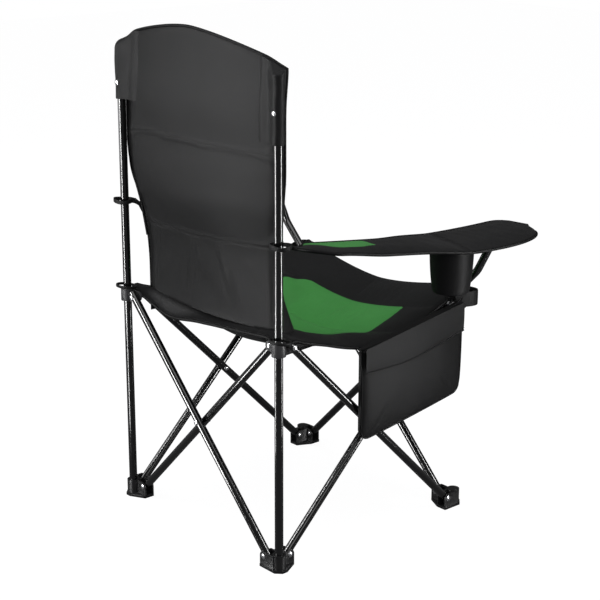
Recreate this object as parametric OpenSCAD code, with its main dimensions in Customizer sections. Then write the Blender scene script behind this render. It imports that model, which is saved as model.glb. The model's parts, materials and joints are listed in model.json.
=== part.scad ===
// Folding camp chair with a high back: a square of four scissor frames under a fabric seat,
// with two tall rear posts, armrests on the front tubes, a cup holder and a side pouch.
// Millimetres. +Z up, the sitter looks towards -Y and the sitter's left hand is at +X.
// The origin is on the ground under the middle of the chair.

/* [Frame] */
// Distance between the centre lines of neighbouring corners
frame_w = 510; // [460:1:560]
// Angle of the cross tubes above the ground with the chair open
open_angle = 45; // [42:1:47]
// Height of the lower pivots above the ground
foot_pin_z = 25; // [23:0.5:30]
// Distance from a corner's centre line to the pivots beside it
pin_inset = 31.5; // [30:0.5:36]
// Outside diameter of the cross tubes
tube_d = 17; // [15:0.5:18]
// Outside diameter of the rear posts
post_d = 17.5; // [16:0.5:19]
// Wall of the tubes and posts
tube_wall = 1.2; // [0.8:0.1:1.6]
// How far the outer cross tubes stand outside the corners' centre lines
outer_offset = 4; // [3:0.5:5]
// Gap between the two tubes of a scissor
cross_gap = 0.6; // [0.4:0.1:1.5]
// Length of tube past its last pivot
tube_tail = 11; // [9:0.5:12]
// Height of the top of the rear posts
post_top_z = 1008; // [960:1:1015]

/* [Rivets] */
// Diameter of the rivets' shanks
rivet_d = 6; // [4:0.5:7]
// Running clearance of a rivet in its hole, on the radius
rivet_play = 0.05; // [0.02:0.01:0.09]
// Diameter of the rivets' heads
head_d = 10; // [9:0.5:12]
// Height of the rivets' heads
head_h = 2; // [1:0.25:3]

/* [Feet] */
// Wall of the cheeks that hold a tube's end
cheek_t = 3; // [2:0.25:3.5]
// Gap between a tube and each cheek
cheek_gap = 0.4; // [0.3:0.1:0.8]
// Radius of the cheeks around a pivot
cheek_r = 10.5; // [9:0.5:12]
// Thickness of the sole
sole_h = 6; // [4:0.5:8]
// Height of the socket that holds a post
socket_h = 36; // [30:1:45]
// Wall of the socket
socket_wall = 5; // [4.5:0.5:6]

/* [Sliders and hubs] */
// Height of the collar round a post
collar_h = 26; // [20:1:32]
// Wall of the collar
collar_wall = 5.2; // [4:0.2:6]
// Gap between a collar and its post, on the radius
collar_gap = 0.5; // [0.4:0.1:1]
// Thickness of the ears that carry the tubes
ear_t = 4; // [3:0.5:4.5]
// Radius of the ears round a pivot
ear_r = 10; // [9:0.5:11]

/* [Arm posts] */
// Straight run of a front tube past its upper pivot, up to the bend
arm_run = 98; // [80:1:115]
// Lean of the arm posts from upright
arm_lean = 29; // [24:1:34]
// Radius of the bend
arm_bend_r = 70; // [50:1:90]
// Gap between an arm post's cap and the armrest above it
rest_gap = 1.5; // [1:0.5:3]
// Overhang of the arm posts' domed caps outside the tube
cap_over = 1.5; // [0.5:0.25:3]

/* [Seat] */
// Thickness of the seat pad
seat_t = 8; // [5:0.5:12]
// Height of the seat's corners above the upper pivots
seat_rise = 39; // [32:1:42]
// Drop of the side edges at their middle
side_sag = 83; // [60:1:95]
// Further drop of the seat's middle between its side edges
cross_sag = 45; // [30:1:60]
// Overhang of the side edges outside the corners' centre lines
side_over = 11; // [8:1:12]
// Width taken off each front corner
corner_cut = 58; // [54:1:70]
// Gap at the crease between the rear and the front half
crease_gap = 2; // [1:0.5:4]
// Gap between the seat's rear edge and the posts
seat_post_gap = 3; // [2:0.5:6]
// Reach of the front edge in front of the corners' centre lines
seat_over = 7; // [4:1:12]
// Height of the fabric bands round the front corners
band_h = 34; // [26:1:40]
// Thickness of those bands
band_t = 3; // [2:0.5:4]
// Thickness of the loops of binding round the rear posts
loop_t = 5; // [4:0.5:8]
// Reach of the bands outside the corners' centre lines
band_reach = 32; // [28:1:36]
// Length of the bands' legs past the corners' centre lines
band_leg = 13; // [10:1:15]

/* [Back] */
// Thickness of the padded back panel
back_t = 14; // [8:1:16]
// Distance of the panel's middle in front of the posts' centre lines
back_set = 33; // [31:1:40]
// Inset of the panel's side edges at the seat, from the posts' centre lines
waist_inset = 46; // [30:1:50]
// Height of the middle of the panel's top edge
back_top_z = 1074; // [1050:1:1095]
// Drop of the top edge from its middle to its corners
crown = 48; // [30:1:70]
// Further drop of the top edge at its rounded corners
corner_drop = 6; // [2:1:12]
// Height up to which the panel keeps that inset
waist_z = 560; // [530:1:600]
// Height at which the panel reaches its full width
shoulder_z = 800; // [760:1:830]
// Gap between the seat and the panel's lower edge
back_gap = 12; // [8:1:16]
// How far the panel bows rearwards at the middle of its upper part
bow = 36; // [20:1:44]

/* [Post sleeves] */
// Height of the sleeves' lower edges
sleeve_z = 875; // [850:1:900]
// Thickness of the sleeves' fabric
sleeve_t = 2.4; // [1.5:0.1:3]
// Gap between a sleeve and its post
sleeve_gap = 0.4; // [0.3:0.1:1]
// Height of the rivets that pin the sleeves to the posts
sleeve_rivet_z = 935; // [910:1:950]

/* [Armrests] */
// Thickness of the armrests
rest_t = 8; // [6:0.5:10]
// Height of the middle of an armrest at its lowest place
rest_low_z = 636; // [620:1:650]
// Rise of an armrest from there to the rear post
rest_rise = 49; // [40:1:55]
// Half width of the strap at the rear post
strap_half = 50; // [44:1:56]
// Half width of the paddle at the front
paddle_half = 82; // [70:1:90]
// Reach of the paddle past the arm post
paddle_over = 107; // [90:1:120]
// Half width of the left armrest, which has no paddle, at the front
plain_half = 56; // [50:1:62]
// Reach of the left armrest past its arm post
plain_over = 15; // [12:1:30]
// Splay of an armrest at the rear post, outside the corner's centre line
rest_out = 7; // [4:1:10]
// Reach of the loops behind the posts' centre lines
loop_behind = 18; // [16:1:24]
// Half width of the loops round the posts
loop_half = 24; // [20:1:28]
// Drop of the tie straps from the loops to the back panel's edges
tie_drop = 14; // [10:1:16]
// Width of the tie straps
tie_w = 20; // [14:1:24]
// Thickness of a tie strap's end
tie_t = 5; // [3:0.5:6]
// Gap between a tie strap's end and the back panel's edge
tie_gap = 3.5; // [2:0.5:6]

/* [Cup holder] */
// Outside diameter at the mouth
cup_d = 92; // [84:1:100]
// Outside diameter at the bottom
cup_bottom_d = 76; // [68:1:84]
// Depth
cup_h = 95; // [80:1:102]
// Thickness of the fabric
cup_wall = 2.2; // [1.5:0.1:3]
// Gap between the mouth and the armrest above it
cup_gap = 9; // [6:1:14]
// Place along the armrest, from 0 at the rear post to 1 at the arm post
cup_place = 0.79; // [0.72:0.01:0.84]

/* [Side pouch] */
// Length along the seat's edge
pouch_l = 300; // [240:1:320]
// Depth below the seat's edge
pouch_h = 190; // [150:1:200]
// Thickness of the filled pouch
pouch_t = 24; // [16:1:30]
// Thickness of the pouch's fabric
pouch_wall = 2.5; // [2:0.25:3.5]
// Distance of the pouch's front end in front of the chair's middle
pouch_front = 238; // [225:1:245]
// Gap between the pouch and the outer tubes
pouch_gap = 3; // [2:0.5:6]
// Slope of the pouch, which follows the rising seat edge
pouch_slope = 8.5; // [5:0.5:10]
// Width of the flap over the pouch
flap_h = 48; // [35:1:60]
// Thickness of the flap
flap_t = 3; // [2:0.5:4]
// Drop of the mouth below the seat's edge at the front end
pouch_drop = 20; // [12:1:28]

/* [Hidden] */
$fn = 64;
half_w = frame_w / 2;
pin_half = half_w - pin_inset;
pin_len = 2 * pin_half / cos(open_angle);
half_len = pin_len / 2;
hub_pin_z = foot_pin_z + 2 * pin_half * tan(open_angle);
mid_z = (foot_pin_z + hub_pin_z) / 2;
inner_offset = outer_offset - tube_d - cross_gap;
tube_r = tube_d / 2;
post_r = post_d / 2;
hole_r = rivet_d / 2 + rivet_play;
tilt = 90 - open_angle;
outer = 1;
inner = -1;

// corners in the order rear right, rear left, front left, front right
rear_right = 0;
rear_left = 1;
front_left = 2;
front_right = 3;
// sides in the same order
rear = 0;
left = 1;
front = 2;
right = 3;

bend = tilt - arm_lean;
bend_steps = 6;
bend_start = half_len + arm_run;
bend_end_in = arm_bend_r * (1 - cos(bend));
bend_end_up = bend_start + arm_bend_r * sin(bend);
bend_end_z = mid_z + bend_end_in * sin(tilt) + bend_end_up * cos(tilt);
bend_end_x = bend_end_up * sin(tilt) - bend_end_in * cos(tilt);
rest_at_post_z = rest_low_z + tip_lift(1);
cap_r = tube_r + cap_over;
arm_top_z = rest_at_post_z - rest_t / 2 - rest_gap - cap_r;
arm_post_len = (arm_top_z - bend_end_z) / cos(arm_lean);
arm_top_x = bend_end_x + arm_post_len * sin(arm_lean);

seat_corner_z = hub_pin_z + seat_rise;
seat_rear = half_w - post_r - seat_post_gap;
seat_front = half_w + seat_over;
seat_half_x = half_w + side_over;
cheek_out = tube_r + cheek_gap + cheek_t;
foot_out = outer_offset + cheek_out + 1;
foot_reach = pin_inset + cheek_r;
socket_r = post_r + socket_wall;
collar_r = post_r + collar_gap + collar_wall;
sleeve_r = post_r + sleeve_gap + sleeve_t;
loop_front = post_r + 13;
rest_rows = 30;
web_reach = back_set - back_t / 2 - 4;
front_reach = half_w + paddle_over;
rear_reach = half_w + loop_behind;
mid_x = (rest_reach("right") - rest_reach("left")) / 2;
mid_y = (front_reach - rear_reach) / 2;
pouch_x = -(half_w + outer_offset + tube_r + pouch_gap);

// ---- shared shapes ----

// Moves the chair so that its middle stands over the origin
module placed() translate([mid_x, mid_y, 0]) children();

// A side of the frame: x to the right as seen from outside, y inwards, z up
module on_side(side) placed() rotate([0, 0, 180 - 90 * side]) children();

// A corner: the side named like it lies towards -x, the side before it towards +y
module on_corner(corner) on_side(corner) translate([half_w, -half_w, 0]) children();

// The chair's left half as drawn, or mirrored to the right
module on_hand(hand) placed() mirror([hand == "left" ? 0 : 1, 0, 0]) children();

// Domed head on the x-y plane
module rivet_head() {
    dome_r = (pow(head_d / 2, 2) + pow(head_h, 2)) / (2 * head_h);
    intersection() {
        cylinder(h = head_h, d = head_d);
        translate([0, 0, head_h - dome_r]) sphere(r = dome_r);
    }
}

// Rivet along y from y = 0 to the given length, with a head at each end
module rivet(length) {
    translate([0, length, 0]) rotate([90, 0, 0]) cylinder(h = length, d = rivet_d);
    rotate([90, 0, 0]) rivet_head();
    translate([0, length, 0]) rotate([-90, 0, 0]) rivet_head();
}

// Closed skin over two grids of points. Seen from the upper one, the columns run to the right of the rows
module skin(upper, lower) {
    rows = len(upper);
    cols = len(upper[0]);
    function at(grid, i, j) = (grid * rows + i) * cols + j;
    polyhedron(
        points = [for (grid = [upper, lower]) for (row = grid) for (p = row) p],
        faces = concat(
            [for (i = [0:rows - 2]) for (j = [0:cols - 2])
                [at(0, i, j), at(0, i + 1, j), at(0, i + 1, j + 1), at(0, i, j + 1)]],
            [for (i = [0:rows - 2]) for (j = [0:cols - 2])
                [at(1, i, j), at(1, i, j + 1), at(1, i + 1, j + 1), at(1, i + 1, j)]],
            [for (i = [0:rows - 2]) [at(0, i, 0), at(1, i, 0), at(1, i + 1, 0), at(0, i + 1, 0)]],
            [for (i = [0:rows - 2])
                [at(0, i + 1, cols - 1), at(1, i + 1, cols - 1), at(1, i, cols - 1), at(0, i, cols - 1)]],
            [for (j = [0:cols - 2]) [at(0, 0, j + 1), at(1, 0, j + 1), at(1, 0, j), at(0, 0, j)]],
            [for (j = [0:cols - 2])
                [at(0, rows - 1, j), at(1, rows - 1, j), at(1, rows - 1, j + 1), at(0, rows - 1, j + 1)]]));
}

function ease(t) = let (u = min(1, max(0, t))) u * u * (3 - 2 * u);

// ---- tubes and posts ----

// Places children on a side's outer or inner tube: z along the tube, 0 at its crossing rivet, y inwards
module on_tube(side, layer) {
    offset = layer == outer ? outer_offset : inner_offset;
    on_side(side) mirror([layer == outer ? 0 : 1, 0, 0])
        translate([0, -(half_w + offset), mid_z]) rotate([0, -tilt, 0]) children();
}

module rivet_holes() for (z = [-half_len, 0, half_len])
    translate([0, 0, z]) rotate([90, 0, 0]) cylinder(h = 2 * tube_d, r = hole_r, center = true);

module cross_tube(side, layer) color("#16171a") on_tube(side, layer) difference() {
    cylinder(h = pin_len + 2 * tube_tail, d = tube_d, center = true);
    cylinder(h = pin_len + 3 * tube_tail, d = tube_d - 2 * tube_wall, center = true);
    rivet_holes();
}

// Hollow tube through stations of [x, z, lean]. Its bore's flats touch a round plug
module swept_tube(stations) {
    rings = len(stations);
    sides = 40;
    function ring(s, r) = [for (k = [0:sides - 1]) let (a = 360 * k / sides)
        [s[0] + r * cos(a) * cos(s[2]), r * sin(a), s[1] - r * cos(a) * sin(s[2])]];
    function at(wall, i, k) = (wall * rings + i) * sides + k % sides;
    polyhedron(
        points = [for (r = [tube_r, (tube_r - tube_wall) / cos(180 / sides)])
            for (s = stations) for (p = ring(s, r)) p],
        faces = concat(
            [for (i = [0:rings - 2]) for (k = [0:sides - 1])
                [at(0, i, k), at(0, i + 1, k), at(0, i + 1, k + 1), at(0, i, k + 1)]],
            [for (i = [0:rings - 2]) for (k = [0:sides - 1])
                [at(1, i, k), at(1, i, k + 1), at(1, i + 1, k + 1), at(1, i + 1, k)]],
            [for (k = [0:sides - 1]) [at(0, 0, k), at(0, 0, k + 1), at(1, 0, k + 1), at(1, 0, k)]],
            [for (k = [0:sides - 1])
                [at(0, rings - 1, k + 1), at(0, rings - 1, k), at(1, rings - 1, k), at(1, rings - 1, k + 1)]]));
}

// A front tube goes on past its upper pivot: straight, a bend towards upright, and the arm post
module arm_tube(layer) color("#16171a") on_tube(front, layer) difference() {
    swept_tube(concat(
        [[0, -half_len - tube_tail, 0]],
        [for (i = [0:bend_steps]) let (a = i * bend / bend_steps)
            [arm_bend_r * (1 - cos(a)), bend_start + arm_bend_r * sin(a), a]],
        [[bend_end_in + arm_post_len * sin(bend), bend_end_up + arm_post_len * cos(bend), bend]]));
    rivet_holes();
}

// Plastic plug in a tube's end: a stem inside the tube and a low domed head outside
module plug(d) {
    translate([0, 0, -8]) cylinder(h = 8, d = d - 2 * tube_wall);
    intersection() {
        cylinder(h = 3, d = d);
        translate([0, 0, 3 - d]) sphere(r = d);
    }
}

// Plugs in a tube's ends: 0 is the lower end and 1 the upper. Each makes way for the rivet beside it
module tube_plugs(side, layer, ends = [0, 1]) color("#222224") on_tube(side, layer)
    for (end = ends) mirror([0, 0, 1 - end]) difference() {
        translate([0, 0, half_len + tube_tail]) plug(tube_d);
        translate([0, 0, half_len]) rotate([90, 0, 0])
            cylinder(h = 2 * tube_d, r = rivet_d / 2 + 1, center = true);
    }

// Crossing rivet: right through both tubes of a side
module cross_rivet(side) color("#c9cbce")
    on_side(side) translate([0, -(half_w + outer_offset + tube_r), mid_z])
        rivet(2 * tube_d + cross_gap);

// A rear post's centre line, on the left as drawn or mirrored to the right
module on_post(hand) on_hand(hand) translate([half_w, half_w, 0]) children();

module post(hand) color("#16171a") on_post(hand) difference() {
    translate([0, 0, sole_h]) cylinder(h = post_top_z - sole_h, r = post_r);
    translate([0, 0, sole_h - 1]) cylinder(h = post_top_z, r = post_r - tube_wall);
    translate([0, 0, sleeve_rivet_z]) rotate([-90, 0, 0]) cylinder(h = post_d, d = rivet_d);
}

module post_cap(hand) color("#222224") on_post(hand) translate([0, 0, post_top_z]) plug(post_d);

// Domed cap on top of an arm post, with its stem inside the tube
module arm_cap(layer) color("#222224") on_tube(front, layer)
    translate([bend_end_in, 0, bend_end_up]) rotate([0, bend, 0]) translate([0, 0, arm_post_len]) {
        translate([0, 0, -12]) cylinder(h = 12, d = tube_d - 2 * tube_wall);
        intersection() {
            sphere(r = cap_r);
            cylinder(h = cap_r, r = 2 * cap_r);
        }
    }

// ---- feet ----

// Cheek beside a tube's lower end, in the x-z plane with its pivot at x = -pin_inset
module cheek(start) rotate([90, 0, 0]) linear_extrude(cheek_t) {
    translate([-pin_inset, foot_pin_z]) circle(r = cheek_r);
    translate([-foot_reach, 0]) square([cheek_r, foot_pin_z]);
    translate([-pin_inset, 0]) square([pin_inset - start, foot_pin_z + cheek_r]);
}

// Two cheeks for a tube whose centre line is at the given y, reaching from x = -start outwards
module fork(y, start) for (face = [y - tube_r - cheek_gap, y + cheek_out])
    translate([0, face, 0]) cheek(start);

module pivot_bore() translate([-pin_inset, 0, foot_pin_z]) rotate([90, 0, 0])
    cylinder(h = 4 * tube_d, d = rivet_d, center = true);

// A foot: sole, socket and two forks. The front feet have no post, so their socket is closed
module foot(corner, has_post) color("#1b1b1c") on_corner(corner) difference() {
    union() {
        linear_extrude(sole_h) polygon([
            [-foot_reach, -foot_out], [foot_out - 12, -foot_out], [foot_out, 12 - foot_out],
            [foot_out, 8], [inner_offset + cheek_out, foot_reach],
            [inner_offset - cheek_out, foot_reach], [-foot_reach, cheek_out - outer_offset]]);
        cylinder(h = socket_h, r = socket_r);
        fork(-outer_offset, 0);
        mirror([1, 1, 0]) fork(-inner_offset, cheek_out - cheek_t - outer_offset);
    }
    if (has_post) translate([0, 0, sole_h]) cylinder(h = socket_h, r = post_r);
    intersection() {
        pivot_bore();
        translate([-foot_reach, -foot_out, 0]) cube([foot_reach, 2 * foot_out, socket_h]);
    }
    mirror([1, 1, 0]) pivot_bore();
}

module foot_rivets(corner) color("#c9cbce") on_corner(corner) {
    length = tube_d + 2 * cheek_gap + 2 * cheek_t;
    translate([-pin_inset, -outer_offset - length / 2, foot_pin_z]) rivet(length);
    translate([inner_offset - length / 2, pin_inset, foot_pin_z]) rotate([0, 0, -90]) rivet(length);
}

// ---- sliders and hubs ----

// Ear in the x-z plane from the collar to the pivot at x = -pin_inset
module ear() rotate([90, 0, 0]) linear_extrude(ear_t) {
    translate([-pin_inset, 0]) circle(r = ear_r);
    translate([-pin_inset, -ear_r]) square([pin_inset, 2 * ear_r]);
}

// Collar with an ear outside the side's inner tube and an ear inside the next side's outer tube
module collar(bore_r) translate([0, 0, hub_pin_z]) difference() {
    union() {
        cylinder(h = collar_h, r = collar_r, center = true);
        translate([0, -inner_offset - tube_r - cheek_gap, 0]) ear();
        mirror([1, 1, 0]) translate([0, tube_r + cheek_gap + ear_t - outer_offset, 0]) ear();
    }
    if (bore_r > 0) cylinder(h = 2 * collar_h, r = bore_r, center = true);
    translate([-pin_inset, 0, 0]) rotate([90, 0, 0]) cylinder(h = 2 * collar_r, d = rivet_d, center = true);
    translate([0, pin_inset, 0]) rotate([0, 90, 0]) cylinder(h = 2 * collar_r, d = rivet_d, center = true);
}

// Slider on a rear post
module slider(corner) color("#4a4a4c") on_corner(corner) collar(post_r + collar_gap);

// Hub on a front corner, which has no post and leaves room for the arm tube
module hub(corner) color("#2c2c2e") on_corner(corner) difference() {
    collar(0);
    arm_tube_room(-inner_offset);
    mirror([1, 1, 0]) arm_tube_room(-outer_offset);
}

// Room for an arm tube that comes down beside its pin at the given offset
module arm_tube_room(offset) translate([-pin_inset, offset, hub_pin_z]) rotate([0, 90 - open_angle, 0])
    cylinder(h = 2 * pin_inset + collar_h, r = tube_r + cheek_gap / 2);

module hub_rivet_pair(corner) color("#c9cbce") on_corner(corner) {
    length = ear_t + cheek_gap + tube_d;
    translate([-pin_inset, -inner_offset - tube_r - cheek_gap - ear_t, hub_pin_z]) rivet(length);
    translate([outer_offset - tube_r - cheek_gap - ear_t, pin_inset, hub_pin_z])
        rotate([0, 0, -90]) rivet(length);
}

// ---- seat ----

// Height of the middle of the seat pad, with x and y as shares of the frame's half width
function seat_z(u, v) = seat_corner_z
    - side_sag * (1 - pow(min(1, abs(v)), 1.6)) - cross_sag * (1 - pow(min(1, abs(u)), 1.6));

function seat_half(y) = seat_half_x - corner_cut * ease((-y / half_w - 0.76) / 0.14);

// Half of the seat, between two distances from the chair's middle
module seat_half_pad(y_from, y_to) {
    rows = 12;
    cols = 16;
    function grid(lift) = [for (i = [0:rows]) let (y = y_from + (y_to - y_from) * i / rows)
        [for (j = [0:cols]) let (x = seat_half(y) * (2 * j / cols - 1))
            [x, y, seat_z(x / half_w, y / half_w) + lift]]];
    placed() skin(grid(seat_t / 2), grid(-seat_t / 2));
}

module seat_rear_half() color("#3f8f3d") seat_half_pad(crease_gap / 2, seat_rear);
module seat_front_half() color("#3f8f3d") seat_half_pad(-seat_front, -crease_gap / 2);

// Band of fabric round a front corner, outside the hub and both tubes
module seat_band(corner) color("#2b2b2c") on_corner(corner)
    translate([0, 0, seat_corner_z - 12 - band_h]) linear_extrude(band_h)
        difference() {
            band_outline(band_reach);
            band_outline(band_reach - band_t);
            translate([-frame_w, band_leg]) square(2 * frame_w);
            translate([-frame_w - band_leg, -half_w]) square([frame_w, frame_w]);
        }

// Loop of seat binding round a rear post, resting on the slider
module seat_loop(hand) color("#2f2f30") on_post(hand)
    translate([0, 0, hub_pin_z + collar_h / 2 + 2]) difference() {
        cylinder(h = loop_t, r = collar_r + 3);
        cylinder(h = 3 * loop_t, r = post_r + collar_gap + 1.5, center = true);
    }

module band_outline(reach) offset(r = 8) offset(delta = -8)
    translate([-half_w, -reach]) square([half_w + reach, half_w]);

// ---- back ----

function back_half(z) = half_w - waist_inset + (waist_inset + 1) * ease((z - waist_z) / (shoulder_z - waist_z));

function back_low(x) = seat_z(x / half_w, (half_w - back_set) / half_w) + seat_t / 2 + back_gap;

// Top edge: a shallow crown with rounded corners
function back_high(share) = back_top_z - crown * pow(abs(share), 1.6)
    - corner_drop * pow(ease((abs(share) - 0.84) / 0.16), 2);

module back_panel() {
    rows = 24;
    cols = 20;
    function grid(side) = [for (i = [0:rows]) [for (j = [0:cols])
        let (share = 2 * j / cols - 1,
            low = back_low(share * (half_w - waist_inset)),
            z = low + (back_high(share) - low) * i / rows,
            x = share * back_half(z),
            out = bow * (1 - share * share) * (0.3 + 0.7 * ease(i / 10)),
            thin = 0.35 + 0.65 * ease((1 - abs(share)) / 0.12) * ease((rows - i) / 2))
        [x, half_w - back_set + out + side * thin * back_t / 2, z]]];
    color("#2b2b2c") placed() skin(grid(-1), grid(1));
}

// Fabric sleeve over the top of a post, closed above, with a web towards the panel
module sleeve(hand) color("#262627") on_post(hand) difference() {
    translate([0, 0, sleeve_z]) linear_extrude(post_top_z + 8 - sleeve_z) {
        circle(r = sleeve_r);
        translate([-sleeve_r / 2, -web_reach]) square([sleeve_r, web_reach]);
    }
    translate([0, 0, sleeve_z - 1]) cylinder(h = post_top_z + 5 - sleeve_z, r = post_r + sleeve_gap);
    translate([0, 0, sleeve_rivet_z]) rotate([-90, 0, 0]) cylinder(h = post_d, d = rivet_d);
}

// Short rivet that pins a sleeve to the rear wall of its post
module sleeve_rivet(hand) color("#c9cbce") on_post(hand)
    translate([0, post_r - tube_wall - 2, sleeve_rivet_z]) rotate([-90, 0, 0]) {
        length = sleeve_r - post_r + tube_wall + 2;
        cylinder(h = length, d = rivet_d);
        translate([0, 0, length]) rivet_head();
    }

// ---- armrests ----

// Place along an armrest as a share: 0 at the rear post's centre line, 1 at the arm post's
function rest_y(t) = half_w - t * frame_w;
function rest_x(t) = half_w + rest_out + (arm_top_x - half_w - rest_out) * t;
function tip_lift(t) = 50 * pow(max(0, t - 0.8), 2);
function rest_z(t) = rest_low_z + tip_lift(t) + rest_rise * pow(max(0, 0.8 - t) / 0.8, 1.5);
function rest_end(hand) = 1 + (hand == "left" ? plain_over : paddle_over) / frame_w;
function rest_wide(hand, t) = strap_half + 14 * t
    + ((hand == "left" ? plain_half : paddle_half) - strap_half - 14 * t) * ease((t - 0.5) / 0.3);
function rest_half(hand, t) = rest_wide(hand, t) * (0.48 + 0.52 * ease((t - 0.07) / 0.1))
    * sqrt(max(0.0004, 1 - pow(max(0, t - rest_end(hand) + 0.28) / 0.28, 2)));
function rest_row(hand, i) = rest_end(hand) + ((loop_front + 1) / frame_w - rest_end(hand)) * i / rest_rows;

// Distance from the frame's middle to an armrest's outermost place
function rest_reach(hand) = max([for (i = [0:rest_rows]) let (t = rest_row(hand, i))
    rest_x(t) + rest_half(hand, t)]);

module armrest(hand) {
    cols = 6;
    function grid(lift) = [for (i = [0:rest_rows]) let (t = rest_row(hand, i))
        [for (j = [0:cols]) let (across = 2 * j / cols - 1, edge = 1 - 0.6 * pow(across, 4))
            [rest_x(t) + across * rest_half(hand, t), rest_y(t), rest_z(t) + lift * edge]]];
    color("#2f2f30") on_hand(hand) skin(grid(rest_t / 2), grid(-rest_t / 2));
}

// Flat fabric loop round a rear post, with a strap down to the back panel's edge
module arm_loop(hand) color("#2f2f30") on_post(hand) translate([0, 0, rest_z(0)]) difference() {
    tie_x = back_half(rest_z(0) - tie_drop + tie_t) - half_w + tie_gap;
    union() {
        linear_extrude(rest_t - 2, center = true) polygon([
            [-loop_half, -loop_front], [loop_half, -loop_front], [loop_half, loop_behind - 9],
            [loop_half - 9, loop_behind], [9 - loop_half, loop_behind], [-loop_half, loop_behind - 9]]);
        hull() {
            translate([-loop_half, 8 - tie_w, -3]) cube([4, tie_w, tie_t]);
            translate([tie_x, 12 - back_set - tie_w, -tie_drop]) cube([3, tie_w, tie_t]);
        }
    }
    cylinder(h = 4 * rest_t, r = post_r + sleeve_gap, center = true);
}

// ---- cup holder ----

module cup_holder() color("#2b2b2c") on_hand("right")
    translate([rest_x(cup_place), rest_y(cup_place), rest_z(cup_place) - rest_t / 2 - cup_gap - cup_h])
        difference() {
            cylinder(h = cup_h, d1 = cup_bottom_d, d2 = cup_d);
            translate([0, 0, cup_wall])
                cylinder(h = cup_h, d1 = cup_bottom_d - 2 * cup_wall, d2 = cup_d - 2 * cup_wall);
        }

// ---- side pouch ----

pouch_top_z = seat_z(1, -pouch_front / half_w) - pouch_drop;

// Places an outline whose x runs rearwards from the pouch's front end and whose y runs up from its mouth
module on_pouch(x, thick) placed() translate([x, -pouch_front, pouch_top_z])
    rotate([90, 0, 90]) linear_extrude(thick) children();

// Sloped panel of the given depth, with rounded corners; the inset shrinks it on all sides
module sloped(length, depth, r, inset = 0) offset(r = r) offset(delta = -r - inset)
    polygon([for (end = [[0, 0], [1, 0], [1, 1], [0, 1]])
        [end[0] * length, -end[0] * length * tan(pouch_slope) - end[1] * depth]]);

module side_pouch() color("#262627") difference() {
    on_pouch(pouch_x - pouch_t, pouch_t) sloped(pouch_l, pouch_h, 10);
    on_pouch(pouch_x - pouch_t + pouch_wall, pouch_t - 2 * pouch_wall)
        translate([0, pouch_wall + 12]) sloped(pouch_l, pouch_h + 12, 10, pouch_wall);
}

module pouch_flap() color("#2f2f30") on_pouch(pouch_x - pouch_t - 0.5 - flap_t, flap_t)
    sloped(pouch_l, flap_h, 8);

// ---- every node ----

post("left");  // post_rear_left
post("right");  // post_rear_right
post_cap("left");  // post_cap_left
post_cap("right");  // post_cap_right
foot(rear_left, true);  // foot_rear_left
foot(rear_right, true);  // foot_rear_right
foot(front_left, false);  // foot_front_left
foot(front_right, false);  // foot_front_right
foot_rivets(rear_left);  // foot_rivets_rear_left
foot_rivets(rear_right);  // foot_rivets_rear_right
foot_rivets(front_left);  // foot_rivets_front_left
foot_rivets(front_right);  // foot_rivets_front_right
cross_tube(rear, inner);  // tube_rear_inner
cross_tube(rear, outer);  // tube_rear_outer
cross_tube(left, outer);  // tube_left_outer
cross_tube(left, inner);  // tube_left_inner
cross_tube(right, inner);  // tube_right_inner
cross_tube(right, outer);  // tube_right_outer
arm_tube(outer);  // tube_front_outer
arm_tube(inner);  // tube_front_inner
tube_plugs(rear, inner);  // plugs_rear_inner
tube_plugs(rear, outer);  // plugs_rear_outer
tube_plugs(left, outer);  // plugs_left_outer
tube_plugs(left, inner);  // plugs_left_inner
tube_plugs(right, inner);  // plugs_right_inner
tube_plugs(right, outer);  // plugs_right_outer
tube_plugs(front, outer, [0]);  // plug_front_outer
tube_plugs(front, inner, [0]);  // plug_front_inner
cross_rivet(rear);  // cross_rivet_rear
cross_rivet(left);  // cross_rivet_left
cross_rivet(right);  // cross_rivet_right
cross_rivet(front);  // cross_rivet_front
slider(rear_left);  // slider_left
slider(rear_right);  // slider_right
hub_rivet_pair(rear_left);  // slider_rivets_left
hub_rivet_pair(rear_right);  // slider_rivets_right
hub(front_left);  // hub_front_left
hub(front_right);  // hub_front_right
hub_rivet_pair(front_left);  // hub_rivets_left
hub_rivet_pair(front_right);  // hub_rivets_right
arm_cap(inner);  // arm_cap_left
arm_cap(outer);  // arm_cap_right
seat_rear_half();
seat_front_half();
seat_band(front_left);  // seat_band_left
seat_band(front_right);  // seat_band_right
seat_loop("left");  // seat_loop_left
seat_loop("right");  // seat_loop_right
back_panel();
sleeve("left");  // sleeve_left
sleeve("right");  // sleeve_right
sleeve_rivet("left");  // sleeve_rivet_left
sleeve_rivet("right");  // sleeve_rivet_right
arm_loop("left");  // arm_loop_left
arm_loop("right");  // arm_loop_right
armrest("left");  // armrest_left
armrest("right");  // armrest_right
cup_holder();
side_pouch();
pouch_flap();
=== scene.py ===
import json
import math

import bmesh
import bpy
import numpy as np
from mathutils import Matrix, Vector, noise


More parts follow.
